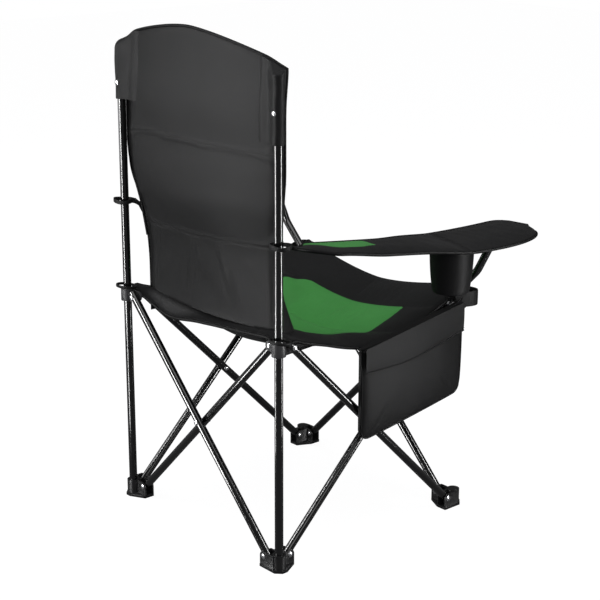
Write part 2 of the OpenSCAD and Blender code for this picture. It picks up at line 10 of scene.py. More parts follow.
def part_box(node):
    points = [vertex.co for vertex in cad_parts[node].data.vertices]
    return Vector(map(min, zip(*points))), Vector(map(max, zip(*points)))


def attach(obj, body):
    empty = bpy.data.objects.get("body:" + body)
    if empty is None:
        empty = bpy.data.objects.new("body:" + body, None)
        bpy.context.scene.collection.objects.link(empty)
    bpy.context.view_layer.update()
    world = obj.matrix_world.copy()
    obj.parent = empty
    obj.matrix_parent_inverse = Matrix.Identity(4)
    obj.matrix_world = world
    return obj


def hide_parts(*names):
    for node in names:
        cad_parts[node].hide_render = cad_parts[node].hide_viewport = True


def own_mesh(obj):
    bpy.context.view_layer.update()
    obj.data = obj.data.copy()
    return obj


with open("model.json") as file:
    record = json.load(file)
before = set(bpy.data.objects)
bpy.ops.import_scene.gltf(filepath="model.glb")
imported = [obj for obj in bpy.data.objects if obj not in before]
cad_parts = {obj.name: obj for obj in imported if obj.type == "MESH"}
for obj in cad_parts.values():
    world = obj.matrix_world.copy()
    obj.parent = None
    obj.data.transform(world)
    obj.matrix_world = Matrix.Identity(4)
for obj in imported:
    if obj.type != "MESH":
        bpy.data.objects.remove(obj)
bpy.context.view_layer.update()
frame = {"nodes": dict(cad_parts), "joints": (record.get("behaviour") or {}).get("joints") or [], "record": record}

scene = bpy.context.scene

# ---- The chair's own middle ----
# The drawing's origin lies under the middle of the whole box, and one armrest reaches further out
# than the other. So every piece below is laid out from the middle of the posts, and then moved.
left_post, right_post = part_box("post_rear_left"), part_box("post_rear_right")
to_frame = Vector(((left_post[0].x + right_post[1].x) / 2, 0, 0))
corner = (left_post[0].x + left_post[1].x) / 2 - to_frame.x
middle = (left_post[0].y + left_post[1].y) / 2 - corner
hinge = {joint["name"]: Vector(joint["pos_m"]) - to_frame for joint in frame["joints"]}


def box(node):
    return [place - to_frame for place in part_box(node)]


# ---- Camera ----
# It stands behind the chair on the sitter's right, a little above the armrests.
azimuth, elevation, roll = (math.radians(a) for a in (228.889, 16.604, 0.142))
back = Vector((math.sin(azimuth) * math.cos(elevation), -math.cos(azimuth) * math.cos(elevation),
               math.sin(elevation)))
right = (-back).cross(Vector((0, 0, 1))).normalized()
up = right.cross(-back)
right, up = (right * math.cos(roll) + up * math.sin(roll), up * math.cos(roll) - right * math.sin(roll))


def placed(name, data):
    thing = bpy.data.objects.new(name, data)
    scene.collection.objects.link(thing)
    return thing


camera = placed("camera", bpy.data.cameras.new("camera"))
camera.matrix_world = Matrix((right, up, back)).transposed().to_4x4()
camera.location = to_frame + Vector((-2.39272, 2.11064, 1.40866))
camera.data.lens = 91.22
camera.data.sensor_width = 36
scene.camera = camera

# ---- Floor and light ----
# A pale studio floor that keeps the chair's shadow, soft light from above, and a tall narrow
# soft box on either side, which draws the thin white lines along the enamelled tubes.


def srgb(code):
    """A colour written as an sRGB hex code, turned to linear."""
    parts = [int(code[i:i + 2], 16) / 255 for i in (1, 3, 5)]
    return [c / 12.92 if c <= 0.04045 else ((c + 0.055) / 1.055) ** 2.4 for c in parts] + [1]


def add(tree, kind, sockets=(), **settings):
    """A node with its settings, its sockets' values, and links from other nodes or their sockets."""
    made = tree.nodes.new(kind)
    for key, value in settings.items():
        setattr(made, key, value)
    for key, value in dict(sockets).items():
        if isinstance(value, bpy.types.Node):
            value = value.outputs[0]
        if isinstance(value, bpy.types.NodeSocket):
            tree.links.new(value, made.inputs[key])
        else:
            made.inputs[key].default_value = value
    return made


def new_material(name):
    made = bpy.data.materials.new(name)
    made.use_nodes = True
    made.node_tree.nodes.clear()
    return made, made.node_tree


def seen_share(tree, in_gloss):
    """1 for rays from the camera and through glass, and less for reflections in black enamel."""
    path = add(tree, "ShaderNodeLightPath")
    gloss = add(tree, "ShaderNodeMath", {0: path.outputs["Is Glossy Ray"], 1: in_gloss}, operation="MULTIPLY")
    seen = add(tree, "ShaderNodeMath", {0: path.outputs["Is Camera Ray"], 1: gloss}, operation="MAXIMUM")
    return add(tree, "ShaderNodeMath", {0: seen, 1: path.outputs["Is Transmission Ray"]}, operation="MAXIMUM")


world_fill, gloss_of_world, gloss_of_floor, floor_glow, floor_reach = 0.32, 0.1, 0.05, 0.945, 9
scene.view_settings.view_transform = "Standard"
world = bpy.data.worlds.new("studio")
world.use_nodes = True
scene.world = world
tree = world.node_tree
tree.nodes.clear()
path = add(tree, "ShaderNodeLightPath")
lit = add(tree, "ShaderNodeMath", {0: path.outputs["Is Diffuse Ray"], 1: world_fill}, operation="MULTIPLY")
level = add(tree, "ShaderNodeMath", {0: seen_share(tree, gloss_of_world), 1: lit}, operation="MAXIMUM")
shown = add(tree, "ShaderNodeBackground", {"Color": (1, 1, 1, 1), "Strength": level})
add(tree, "ShaderNodeOutputWorld", {"Surface": shown})

floor_mesh = bpy.data.meshes.new("floor")
corners = ((-1, -1), (1, -1), (1, 1), (-1, 1))
floor_mesh.from_pydata([(x * floor_reach, y * floor_reach, 0) for x, y in corners], [], [(0, 1, 2, 3)])
floor_paint, tree = new_material("studio floor")
matt = add(tree, "ShaderNodeBsdfDiffuse", {"Color": srgb("#6a6a6c")})
level = add(tree, "ShaderNodeMath", {0: seen_share(tree, gloss_of_floor), 1: floor_glow},
            operation="MULTIPLY")
glow = add(tree, "ShaderNodeEmission", {"Color": (1, 1, 1, 1), "Strength": level})
both = add(tree, "ShaderNodeAddShader", {0: matt, 1: glow})
add(tree, "ShaderNodeOutputMaterial", {"Surface": both})
floor_mesh.materials.append(floor_paint)
placed("floor", floor_mesh)


def soft_box(name, place, size, watts, only_gloss=False):
    """only_gloss makes a strip that draws a highlight and adds nothing to the light level."""
    lamp = bpy.data.lights.new(name, "AREA")
    lamp.shape = "RECTANGLE"
    lamp.size, lamp.size_y = size
    lamp.energy = watts
    light = placed(name, lamp)
    light.location = place
    light.rotation_euler = (Vector((0, 0, 0.5)) - Vector(place)).to_track_quat("-Z", "Y").to_euler()
    light.visible_diffuse = not only_gloss


def around(turn, distance, height):
    """A place at an angle from the camera, seen from above the chair."""
    angle = azimuth + math.radians(turn)
    return (math.sin(angle) * distance, -math.cos(angle) * distance, height)


soft_box("top light", (-0.5, 0.4, 3.2), (2.6, 2.6), 48)
soft_box("side light", around(-100, 2.8, 1.2), (1.0, 2.0), 26)
soft_box("camera fill", around(14, 3.4, 1.6), (1.6, 1.4), 14)
soft_box("cloth strip", around(-98, 2.8, 1.0), (0.5, 2.4), 10, only_gloss=True)
soft_box("left strip", around(-66, 1.5, 0.80), (0.15, 1.9), 45, only_gloss=True)
soft_box("right strip", around(64, 1.5, 0.80), (0.15, 1.9), 45, only_gloss=True)
soft_box("low left strip", around(-66, 0.8, 0.17), (0.05, 0.34), 2.0, only_gloss=True)
soft_box("low right strip", around(64, 0.8, 0.17), (0.05, 0.34), 2.0, only_gloss=True)

# ---- Frame tubes and rear posts ----
# Welded steel tube of 17 mm, coated with gloss black enamel that is sprayed on and baked.
# It gives a deep black with sharp white highlights and a very slight orange peel.


def finish_material(tree, **sockets):
    shader = add(tree, "ShaderNodeBsdfPrincipled", {k.replace("_", " "): v for k, v in sockets.items()})
    add(tree, "ShaderNodeOutputMaterial", {"Surface": shader})


enamel, tree = new_material("gloss black enamel")
place = add(tree, "ShaderNodeTexCoord").outputs["Object"]
peel = add(tree, "ShaderNodeTexNoise", {"Vector": place, "Scale": 420, "Detail": 2})
bump = add(tree, "ShaderNodeBump", {"Height": peel, "Strength": 0.004, "Distance": 0.0002})
haze = add(tree, "ShaderNodeTexNoise", {"Vector": place, "Scale": 14, "Detail": 4})
rough = add(tree, "ShaderNodeMapRange", {"Value": haze, "From Min": 0.3, "From Max": 0.7,
                                         "To Min": 0.16, "To Max": 0.22})
finish_material(tree, Base_Color=srgb("#0a0a0b"), Roughness=rough, Normal=bump,
                Coat_Weight=0.5, Coat_Roughness=0.05, IOR=1.5)


def path_mesh(name, runs, closed=False):
    """Edges along one or more runs of points, which Geometry Nodes turn into pieces."""
    mesh = bpy.data.meshes.new(name)
    points, edges = [], []
    for run in runs:
        first = len(points)
        points += [tuple(Vector(p) + to_frame) for p in run]
        edges += [(first + i, first + i + 1) for i in range(len(run) - 1)]
        if closed:
            edges.append((len(points) - 1, first))
    mesh.from_pydata(points, edges, [])
    return mesh


def new_tree(name, **kinds):
    """A Geometry Nodes tree with geometry in and out, and the sockets of its named inputs."""
    tree = bpy.data.node_groups.new(name, "GeometryNodeTree")
    for label, kind in dict(Geometry="Geometry", **kinds, Paint="Material").items():
        tree.interface.new_socket(label, in_out="INPUT", socket_type="NodeSocket" + kind)
    tree.interface.new_socket("Geometry", in_out="OUTPUT", socket_type="NodeSocketGeometry")
    return tree, add(tree, "NodeGroupInput").outputs


def close_tree(tree, geometry, paint):
    real = add(tree, "GeometryNodeRealizeInstances", {"Geometry": geometry})
    smooth = add(tree, "GeometryNodeSetShadeSmooth", {"Geometry": real})
    painted = add(tree, "GeometryNodeSetMaterial", {"Geometry": smooth, "Material": paint})
    add(tree, "NodeGroupOutput", {"Geometry": painted})


def applied(piece):
    """The plain mesh that a piece's modifiers make, after which they are taken off."""
    graph = bpy.context.evaluated_depsgraph_get()
    made = bpy.data.meshes.new_from_object(piece.evaluated_get(graph))
    piece.modifiers.clear()
    return made


def grown(name, source, tree, **inputs):
    """A piece with the plain mesh that a Geometry Nodes tree makes of the source mesh."""
    piece = placed(name, source)
    modifier = piece.modifiers.new("nodes", "NODES")
    modifier.node_group = tree
    for item in tree.interface.items_tree:
        if item.in_out == "INPUT" and item.name in inputs:
            modifier[item.identifier] = inputs[item.name]
    piece.data = applied(piece)
    return piece


def hand_in(piece, body, node=None, squash=None):
    """Parents a piece to its body, hides the CAD node that it stands for, and gives it a mesh of its own when it
    has a squash.
    """
    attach(piece, body)
    if node:
        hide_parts(node)
    if squash:
        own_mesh(piece)


pipe, given = new_tree("pipe along a path", Radius="Float", Sides="Int")
line = add(pipe, "GeometryNodeMeshToCurve", {"Mesh": given["Geometry"]})
ring = add(pipe, "GeometryNodeCurvePrimitiveCircle",
           {"Resolution": given["Sides"], "Radius": given["Radius"]})
swept = add(pipe, "GeometryNodeCurveToMesh",
            {"Curve": line, "Profile Curve": ring, "Fill Caps": True})
close_tree(pipe, swept, given["Paint"])

tube_r, tube_sides, pin_to_end = 0.0085, 48, 0.011
slope = math.radians(45)
arm_run, arm_lean, bend_r, bend_steps, cap_r = 0.098, math.radians(29), 0.070, 12, 0.010
body_of = {node: body for body, members in frame["record"]["behaviour"]["bodies"].items() for node in members}


def straight_run(node, rises):
    """Centre line of a scissor tube, from its box. It rises towards + or - along its side."""
    low, high = box(node)
    along = 0 if high.x - low.x > high.y - low.y else 1
    ends = [(low + high) / 2, (low + high) / 2]
    inset = tube_r * math.sin(slope)
    for end, sign in zip(ends, (-1, 1)):
        end[along] += sign * rises * ((high[along] - low[along]) / 2 - inset)
        end.z += sign * ((high.z - low.z) / 2 - inset)
    return ends


def arm_path(foot, hub, cap):
    """A front tube: straight past its upper pivot, a bend towards upright, and the arm post."""
    way = (hub - foot).normalized()
    side = 1 if way.x > 0 else -1
    bend = math.pi / 2 - slope - arm_lean
    start = hub + way * arm_run
    points = [foot - way * pin_to_end, start]
    inwards = Vector((-side * way.z, 0, abs(way.x)))
    for step in range(1, bend_steps + 1):
        angle = bend * step / bend_steps
        points.append(start + way * bend_r * math.sin(angle) + inwards * bend_r * (1 - math.cos(angle)))
    lean = Vector((side * math.sin(arm_lean), 0, math.cos(arm_lean)))
    reach = (box(cap)[1].z - cap_r - points[-1].z) / lean.z
    return points + [points[-1] + lean * reach]


y_out, y_in = hinge["rear_crossing"].y, hinge["frame_fold"].y
pin_x, pin_low, pin_high = hinge["frame_fold"].x, hinge["frame_fold"].z, hinge["rear_left_slider_pivot"].z
front_out, front_in = 2 * middle - y_out, 2 * middle - y_in
runs = {node: straight_run(node, rises) for node, rises in (
    ("tube_rear_inner", -1), ("tube_rear_outer", 1), ("tube_left_outer", -1), ("tube_left_inner", 1),
    ("tube_right_inner", -1), ("tube_right_outer", 1))}
for node, foot_x, y, cap in (("tube_front_outer", pin_x, front_out, "arm_cap_right"),
                             ("tube_front_inner", -pin_x, front_in, "arm_cap_left")):
    runs[node] = arm_path(Vector((foot_x, y, pin_low)), Vector((-foot_x, y, pin_high)), cap)
for node, run in runs.items():
    piece = grown("enamelled_" + node, path_mesh(node, [run]), pipe, Radius=tube_r, Sides=tube_sides,
                  Paint=enamel)
    hand_in(piece, body_of[node], node)
for side in ("left", "right"):
    node = "post_rear_" + side
    low, high = box(node)
    centre = (low + high) / 2
    run = [Vector((centre.x, centre.y, low.z)), Vector((centre.x, centre.y, high.z))]
    piece = grown("enamelled_post_" + side, path_mesh("post", [run]), pipe,
                  Radius=(high.x - low.x) / 2, Sides=tube_sides, Paint=enamel)
    hand_in(piece, body_of[node], node)

# ---- Moulded plastic: feet, hubs, sliders, plugs and caps ----
# Injection-moulded nylon, black in the feet, hubs, plugs and caps and dark grey in the sliders.
# It is matt with a fine spark-eroded grain, and its edges are rounded by the mould.
mould_round, round_above, crease_above = 0.0007, math.radians(40), math.radians(32)


def moulded(name, code, roughness):
    """The nylon's scuffs are up to an eighth of the way to a paler grey."""
    made, tree = new_material(name)
    place = add(tree, "ShaderNodeTexCoord").outputs["Object"]
    scuff = add(tree, "ShaderNodeTexNoise", {"Vector": place, "Scale": 45, "Detail": 5})
    paler = add(tree, "ShaderNodeMath", {0: scuff, 1: 0.12}, operation="MULTIPLY")
    tone = add(tree, "ShaderNodeMix", {0: paler, 6: srgb(code), 7: srgb("#5a5a5c")}, data_type="RGBA")
    rough = add(tree, "ShaderNodeMapRange", {"Value": scuff, "From Min": 0.35, "From Max": 0.7,
                                             "To Min": roughness - 0.06, "To Max": roughness + 0.1})
    grain = add(tree, "ShaderNodeTexNoise", {"Vector": place, "Scale": 1100, "Detail": 3})
    bump = add(tree, "ShaderNodeBump", {"Height": grain, "Strength": 0.2, "Distance": 0.0002})
    finish_material(tree, Base_Color=tone.outputs[2], Specular_IOR_Level=0.25, Roughness=rough, Normal=bump)
    return made


black_nylon = moulded("moulded black nylon", "#161617", 0.38)
grey_nylon = moulded("moulded dark grey nylon", "#474749", 0.42)


def mould_copy(node, paint):
    """A copy of a CAD solid with its edges rounded as a mould leaves them."""
    mesh = frame["nodes"][node].data.copy()
    work = bmesh.new()
    work.from_mesh(mesh)
    bmesh.ops.remove_doubles(work, verts=work.verts, dist=1e-5)
    bmesh.ops.dissolve_limit(work, angle_limit=math.radians(0.5), verts=work.verts, edges=work.edges)
    work.to_mesh(mesh)
    work.free()
    mesh.materials.clear()
    mesh.materials.append(paint)
    piece = placed("moulded_" + node, mesh)
    bevel = piece.modifiers.new("edges", "BEVEL")
    bevel.width = mould_round
    bevel.segments = 2
    bevel.limit_method = "ANGLE"
    bevel.angle_limit = round_above
    piece.data = applied(piece)
    piece.data.shade_smooth()
    piece.data.set_sharp_from_angle(angle=crease_above)
    hand_in(piece, body_of[node], node)


for place in ("rear_left", "rear_right", "front_left", "front_right"):
    mould_copy("foot_" + place, black_nylon)
for side in ("left", "right"):
    mould_copy("slider_" + side, grey_nylon)
    mould_copy("hub_front_" + side, black_nylon)
for node in [n for n in frame["nodes"] if n.startswith(("plug", "post_cap", "arm_cap"))]:
    mesh = frame["nodes"][node].data
    mesh.materials.clear()
    mesh.materials.append(black_nylon)

# ---- Rivets ----
# Zinc-plated steel rivets with low domed heads on thin washers, two at each foot, slider and hub,
# one where each pair of tubes crosses, and one that pins each post sleeve. Plating leaves it bright.
zinc, tree = new_material("bright zinc plate")
place = add(tree, "ShaderNodeTexCoord").outputs["Object"]
dull = add(tree, "ShaderNodeTexNoise", {"Vector": place, "Scale": 600, "Detail": 3})
rough = add(tree, "ShaderNodeMapRange", {"Value": dull, "From Min": 0.3, "From Max": 0.7,
                                         "To Min": 0.2, "To Max": 0.36})
finish_material(tree, Base_Color=srgb("#d6d7d9"), Metallic=1.0, Roughness=rough)

washer_t = 0.001
heads, given = new_tree("rivet heads on points", Head="Float", Rise="Float")
ball = add(heads, "GeometryNodeMeshUVSphere", {"Segments": 24, "Rings": 12, "Radius": 1.0})
half_head = add(heads, "ShaderNodeMath", {0: given["Head"], 1: 0.5}, operation="MULTIPLY")
size = add(heads, "ShaderNodeCombineXYZ", {"X": half_head, "Y": half_head, "Z": given["Rise"]})
dome = add(heads, "GeometryNodeTransform", {"Geometry": ball, "Scale": size})
washer_r = add(heads, "ShaderNodeMath", {0: half_head, 1: 1.22}, operation="MULTIPLY")
washer = add(heads, "GeometryNodeMeshCylinder", {"Vertices": 28, "Radius": washer_r, "Depth": washer_t})
pair = add(heads, "GeometryNodeJoinGeometry")
heads.links.new(dome.outputs[0], pair.inputs[0])
heads.links.new(washer.outputs[0], pair.inputs[0])
facing = add(heads, "GeometryNodeInputNamedAttribute", {"Name": "facing"}, data_type="FLOAT_VECTOR")
turn = add(heads, "FunctionNodeAlignRotationToVector", {"Vector": facing}, axis="Z")
in_place = add(heads, "GeometryNodeInstanceOnPoints",
               {"Points": given["Geometry"], "Instance": pair, "Rotation": turn})
close_tree(heads, in_place, given["Paint"])

side_names = ("rear", "left", "front", "right")
corner_names = ("rear_right", "rear_left", "front_left", "front_right")
outwards = (Vector((0, 1, 0)), Vector((1, 0, 0)), Vector((0, -1, 0)), Vector((-1, 0, 0)))
off_out, off_in = y_out - middle - corner, y_in - middle - corner
cheek_face, ear_face = 0.0119, 0.0129
head_d, head_rise = 0.010, 0.0021


def on_side(side, along, offset, height):
    """A point on a side: along it towards its first corner, out from the corners' line, and up."""
    first = outwards[(side - 1) % 4]
    return Vector((0, middle, height)) + outwards[side] * (corner + offset) + first * along


def rivet_piece(node, spots):
    """Rivet heads at [(place, facing)], which stand for one CAD node."""
    mesh = bpy.data.meshes.new(node)
    mesh.from_pydata([tuple(place + to_frame) for place, way in spots], [], [])
    attribute = mesh.attributes.new("facing", "FLOAT_VECTOR", "POINT")
    attribute.data.foreach_set("vector", [c for place, way in spots for c in way])
    piece = grown("zinc_" + node, mesh, heads, Head=head_d, Rise=head_rise, Paint=zinc)
    hand_in(piece, body_of[node], node)


def both_faces(side, along, offset, height, outer_face, inner_face):
    centre = on_side(side, along, offset, height)
    normal = outwards[side]
    return [(centre + normal * outer_face, normal), (centre - normal * inner_face, -normal)]


cross_z = (pin_low + pin_high) / 2
for index, (name, side) in enumerate(zip(corner_names, side_names)):
    before = (index - 1) % 4
    rivet_piece("foot_rivets_" + name,
                both_faces(index, pin_x, off_out, pin_low, cheek_face, cheek_face)
                + both_faces(before, -pin_x, off_in, pin_low, cheek_face, cheek_face))
    part, hand_name = name.split("_")
    rivet_piece({"rear": "slider_rivets_", "front": "hub_rivets_"}[part] + hand_name,
                both_faces(index, pin_x, off_in, pin_high, ear_face, tube_r)
                + both_faces(before, -pin_x, off_out, pin_high, tube_r, ear_face))
    rivet_piece("cross_rivet_" + side,
                [(on_side(index, 0, off_out + tube_r, cross_z), outwards[index]),
                 (on_side(index, 0, off_in - tube_r, cross_z), -outwards[index])])

# ---- Fabric ----
# Woven polyester of 600 denier with a coated back, black with green panels. The matt yarn gives a
# soft broad sheen. Its threads lie 0.5 mm apart and are drawn 1 mm apart, so that they show.
thread_gap = 0.001


def woven(name, code, panel_code=None):
    """The weave lies on the UV map, in metres. A green panel is where the panel attribute is over 0."""
    made, tree = new_material(name)
    coords = add(tree, "ShaderNodeTexCoord")
    cloth, place = coords.outputs["UV"], coords.outputs["Object"]
    thread_scale = math.tau / (20 * thread_gap)
    warp = add(tree, "ShaderNodeTexWave", {"Vector": cloth, "Scale": thread_scale}, bands_direction="X")
    weft = add(tree, "ShaderNodeTexWave", {"Vector": cloth, "Scale": thread_scale}, bands_direction="Y")
    weave = add(tree, "ShaderNodeMath", {0: warp.outputs["Fac"], 1: weft.outputs["Fac"]},
                operation="MULTIPLY")
    slub = add(tree, "ShaderNodeTexNoise", {"Vector": place, "Scale": 130, "Detail": 4})
    cloud = add(tree, "ShaderNodeTexNoise", {"Vector": place, "Scale": 5, "Detail": 3})
    height = add(tree, "ShaderNodeMath", {0: weave, 1: slub}, operation="ADD")
    bump = add(tree, "ShaderNodeBump", {"Height": height, "Strength": 0.3, "Distance": 0.00025})
    base = srgb(code)
    if panel_code:
        zone = add(tree, "ShaderNodeAttribute", attribute_name="panel")
        inside = add(tree, "ShaderNodeMath", {0: zone.outputs["Fac"], 1: 0.0}, operation="GREATER_THAN")
        base = add(tree, "ShaderNodeMix", {0: inside, 6: srgb(code), 7: srgb(panel_code)},
                   data_type="RGBA").outputs[2]
    worn = add(tree, "ShaderNodeMapRange", {"Value": cloud, "From Min": 0.3, "From Max": 0.7,
                                            "To Min": 0.86, "To Max": 1.14})
    shade = add(tree, "ShaderNodeMapRange", {"Value": weave, "To Min": 0.88, "To Max": 1.06})
    value = add(tree, "ShaderNodeMath", {0: worn, 1: shade}, operation="MULTIPLY")
    hsv = add(tree, "ShaderNodeHueSaturation", {"Color": base, "Value": value})
    finish_material(tree, Base_Color=hsv, Roughness=0.5, Normal=bump,
                    Sheen_Weight=0.04, Sheen_Roughness=0.5, Specular_IOR_Level=0.08)
    return made


black_cloth = woven("woven black polyester", "#1e1e1f")
seat_cloth = woven("woven polyester, black and green", "#1e1e1f", "#458f47")
tape, tree = new_material("black binding tape")
place = add(tree, "ShaderNodeTexCoord").outputs["Object"]
rib = add(tree, "ShaderNodeTexNoise", {"Vector": place, "Scale": 700, "Detail": 2})
bump = add(tree, "ShaderNodeBump", {"Height": rib, "Strength": 0.35, "Distance": 0.0003})
finish_material(tree, Base_Color=srgb("#111112"), Roughness=0.55, Normal=bump, Specular_IOR_Level=0.08)
thread, tree = new_material("black sewing thread")
place = add(tree, "ShaderNodeTexCoord").outputs["Object"]
twist = add(tree, "ShaderNodeTexWave", {"Vector": place, "Scale": 300})
bump = add(tree, "ShaderNodeBump", {"Height": twist.outputs["Fac"], "Strength": 0.3, "Distance": 0.0002})
finish_material(tree, Base_Color=srgb("#19191a"), Roughness=0.5, Normal=bump, Specular_IOR_Level=0.2)

stitching, given = new_tree("stitches along a path", Spacing="Float", Stitch="Float", Radius="Float")
line = add(stitching, "GeometryNodeMeshToCurve", {"Mesh": given["Geometry"]})
spots = add(stitching, "GeometryNodeCurveToPoints",
            {"Curve": line, "Length": given["Spacing"]}, mode="LENGTH")
grain = add(stitching, "GeometryNodeMeshUVSphere", {"Segments": 6, "Rings": 4, "Radius": 1.0})
half_long = add(stitching, "ShaderNodeMath", {0: given["Stitch"], 1: 0.5}, operation="MULTIPLY")
size = add(stitching, "ShaderNodeCombineXYZ", {"X": given["Radius"], "Y": given["Radius"],
                                               "Z": half_long})
grain = add(stitching, "GeometryNodeTransform", {"Geometry": grain, "Scale": size})
turn = add(stitching, "FunctionNodeAlignRotationToVector", {"Vector": spots.outputs["Tangent"]}, axis="Z")
in_row = add(stitching, "GeometryNodeInstanceOnPoints",
             {"Points": spots.outputs["Points"], "Instance": grain, "Rotation": turn})
close_tree(stitching, in_row, given["Paint"])


def ramp(value, start, end):
    """0 up to start and 1 from end on, with a soft rise between them."""
    t = np.clip((value - start) / (end - start), 0, 1)
    return t * t * (3 - 2 * t)


def near(value, place, width):
    """1 at a place and falling to 0 on both sides of it."""
    return np.exp(-((value - place) / width) ** 2)


def sewn(name, points, faces, uv, paint, crease=None, merge=False):
    """A piece of cloth from points, faces and each point's place on the cloth, in metres."""
    mesh = bpy.data.meshes.new(name)
    mesh.from_pydata((np.array(points) + to_frame).tolist(), [], faces)
    loops = np.zeros(len(mesh.loops), int)
    mesh.loops.foreach_get("vertex_index", loops)
    mesh.uv_layers.new(name="cloth").data.foreach_set("uv", uv[loops].ravel())
    mesh.materials.append(paint)
    work = bmesh.new()
    work.from_mesh(mesh)
    if merge:
        bmesh.ops.remove_doubles(work, verts=work.verts, dist=1e-6)
    bmesh.ops.recalc_face_normals(work, faces=work.faces)
    work.to_mesh(mesh)
    work.free()
    mesh.shade_smooth()
    if crease:
        mesh.set_sharp_from_angle(angle=math.radians(crease))
    return placed(name, mesh)


def pad(name, top, bottom, paint, crease=None):
    """A closed shell over two grids of points with the same rows and columns."""
    rows, columns = top.shape[:2]
    count = rows * columns
    number = np.arange(count).reshape(rows, columns)
    faces = []
    for grid, flip in ((number, False), (number + count, True)):
        quads = np.stack([grid[:-1, :-1], grid[:-1, 1:], grid[1:, 1:], grid[1:, :-1]], -1).reshape(-1, 4)
        faces += (quads[:, ::-1] if flip else quads).tolist()
    rim = np.concatenate([number[0, :-1], number[:-1, -1], number[-1, :0:-1], number[:0:-1, 0]])
    after = np.roll(rim, -1)
    faces += np.stack([after, rim, rim + count, after + count], -1).tolist()
    steps = [np.linalg.norm(np.diff(top, axis=a), axis=-1).mean(axis=1 - a) for a in (0, 1)]
    down, across = (np.concatenate([[0], np.cumsum(s)]) for s in steps)
    flat = np.stack(np.meshgrid(across, down), -1).reshape(-1, 2)
    return sewn(name, np.concatenate([top.reshape(-1, 3), bottom.reshape(-1, 3)]), faces,
                np.concatenate([flat, flat]), paint, crease)


def inside_of(rows, columns):
    """A grid of 1, with 0 along its edges."""
    grid = np.zeros((rows, columns))
    grid[1:-1, 1:-1] = 1
    return grid


def sheet(x, y, z):
    """A grid of points from their coordinates."""
    return np.stack(np.broadcast_arrays(x, y, z), -1)


def layered(top, bottom):
    """The values of a pad's two layers in one row. Each is a grid, or one number for its layer."""
    return np.concatenate([part.ravel() for part in np.broadcast_arrays(top, bottom)])


def rim_of(grid):
    """The points down one side of a grid, along its last row and back up its other side."""
    return list(grid[:, 0]) + list(grid[-1, 1:-1]) + list(grid[::-1, -1])


def points_of(piece):
    flat = np.zeros(len(piece.data.vertices) * 3)
    piece.data.vertices.foreach_get("co", flat)
    return flat.reshape(-1, 3) - to_frame


def set_points(piece, points):
    piece.data.vertices.foreach_set("co", (points + to_frame).ravel())
    piece.data.update()


def puff(piece, held, pressure, cap):
    """Blows a sewn pad up as its foam does. held is 1 where a seam or an edge holds the cloth."""
    frames = 16
    start = points_of(piece)
    group = piece.vertex_groups.new(name="held")
    for value in np.unique(np.round(held, 2)):
        group.add(np.nonzero(np.round(held, 2) == value)[0].tolist(), float(value), "REPLACE")
    cloth = piece.modifiers.new("cloth", "CLOTH")
    values = {"quality": 4, "mass": 0.3, "tension_stiffness": 12, "compression_stiffness": 12,
              "shear_stiffness": 4, "bending_stiffness": 0.4, "use_pressure": True,
              "uniform_pressure_force": pressure, "vertex_group_mass": "held"}
    for key, value in values.items():
        setattr(cloth.settings, key, value)
    cloth.settings.effector_weights.gravity = 0
    cloth.point_cache.frame_start = 1
    cloth.point_cache.frame_end = frames
    for moment in range(1, frames + 1):
        scene.frame_set(moment)
    blown = applied(piece)
    end = np.zeros(len(start) * 3)
    blown.vertices.foreach_get("co", end)
    bpy.data.meshes.remove(blown)
    piece.vertex_groups.clear()
    scene.frame_set(1)
    move = end.reshape(-1, 3) - to_frame - start
    length = np.linalg.norm(move, axis=1, keepdims=True)
    set_points(piece, start + move * np.minimum(1, cap / np.maximum(length, 1e-9)))


def crumple(piece, axis, scale, height, seed, share):
    """Small folds that move the points along an axis by noise, which is the same on every run."""
    points = points_of(piece)
    folds = [noise.noise(Vector((p[0] * scale[0], p[1] * scale[1], p[2] * scale[2] + seed))) for p in points]
    points[:, axis] += np.array(folds) * height * share
    set_points(piece, points)


def give_panel(piece, values):
    attribute = piece.data.attributes.new("panel", "FLOAT", "POINT")
    attribute.data.foreach_set("value", np.asarray(values, np.float32))


def sew(name, runs, body, squash):
    """A row of stitches along each run of points on a piece."""
    piece = grown(name, path_mesh(name, runs), stitching, Spacing=0.0045, Stitch=0.0032, Radius=0.0005,
                  Paint=thread)
    hand_in(piece, body, squash=squash)


def bind(name, run, body, squash, radius, closed=False):
    """A rounded binding tape along an edge."""
    piece = grown(name, path_mesh(name, [run], closed), pipe, Radius=radius, Sides=10, Paint=tape)
    hand_in(piece, body, squash=squash)


# ---- Seat ----
# A sling of two layers of polyester with thin foam, black with a green middle, edged with tape.
# It is sewn across where it changes colour and at its crease, and it folds along its middle.
seat_low, seat_high = box("seat_rear_half")
front_low = box("seat_front_half")[0]
seat_corner = hinge["seat_rear_fold"].z
seat_t, seam_w, fold_keep = 0.008, 0.005, 0.3
side_sag, cross_sag = 0.083, 0.045
rear_lift, corner_dip = 0.024, 0.009
hem_drop, hem_swag, swag_x, swag_w = 0.017, 0.024, 0.125, 0.085
left_lift, right_lift, border_x = 0.034, 0.024, 0.100
crease_back, change_back, panel_half, panel_end = 0.070, 0.176, 0.165, 0.185
side_squash = {"axis": (1, 0, 0), "anchor": (corner + to_frame.x, 0, 0), "keep": fold_keep}


def seat_height(x, y):
    """Height of the middle of the sling. The rear hem is drawn up to the posts and turns down."""
    u, v = np.minimum(1, abs(x) / corner), (y - middle) / corner
    sling = seat_corner - side_sag * (1 - np.minimum(1, abs(v)) ** 1.6) - cross_sag * (1 - u ** 1.6)
    drawn = rear_lift * ramp(v, 0.55, 0.90) * (1 - u ** 2)
    dip = corner_dip * ramp(u, 0.75, 1) * ramp(v, 0.5, 0.9)
    hem = (hem_drop + hem_swag * near(x, swag_x, swag_w)) * ramp(v, 0.87, 0.95)
    return sling + drawn - dip - hem


